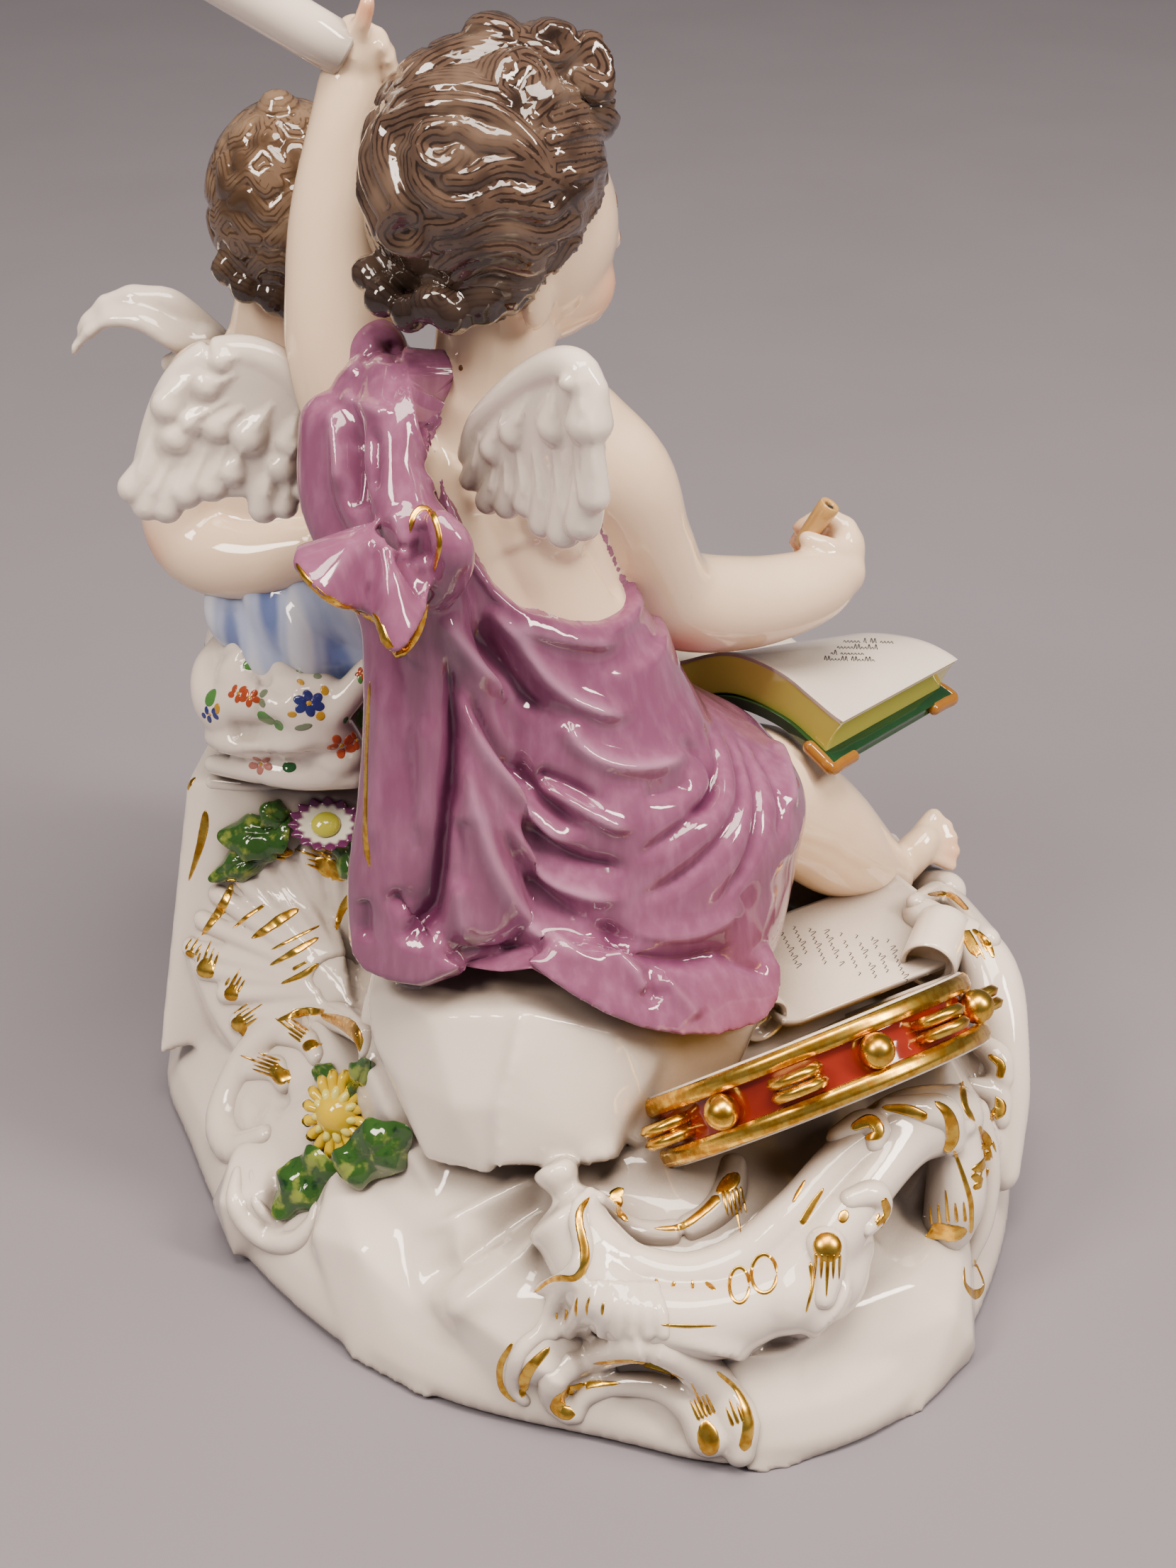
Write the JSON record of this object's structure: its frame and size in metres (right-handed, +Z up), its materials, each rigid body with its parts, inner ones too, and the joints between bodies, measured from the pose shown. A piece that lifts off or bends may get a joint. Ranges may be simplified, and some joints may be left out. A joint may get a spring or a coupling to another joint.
{
  "type": "porcelain figure group",
  "caption": "Glazed porcelain group of winged putti with an open book on a rocky scrollwork base, which stands by its own weight.",
  "frame": {"origin": "on the underside, at the middle of the group's plan", "axes": "+Z up; the putti look towards +Y, so their backs are seen from -Y, with +X to the right"},
  "size_m": [0.1708, 0.169, 0.2229],
  "materials": {
    "porcelain": "glossy glaze over enamel colours and burnished gilding"
  },
  "bodies": {
    "root": {"porcelain_group": "porcelain"}
  },
  "joints": []
}
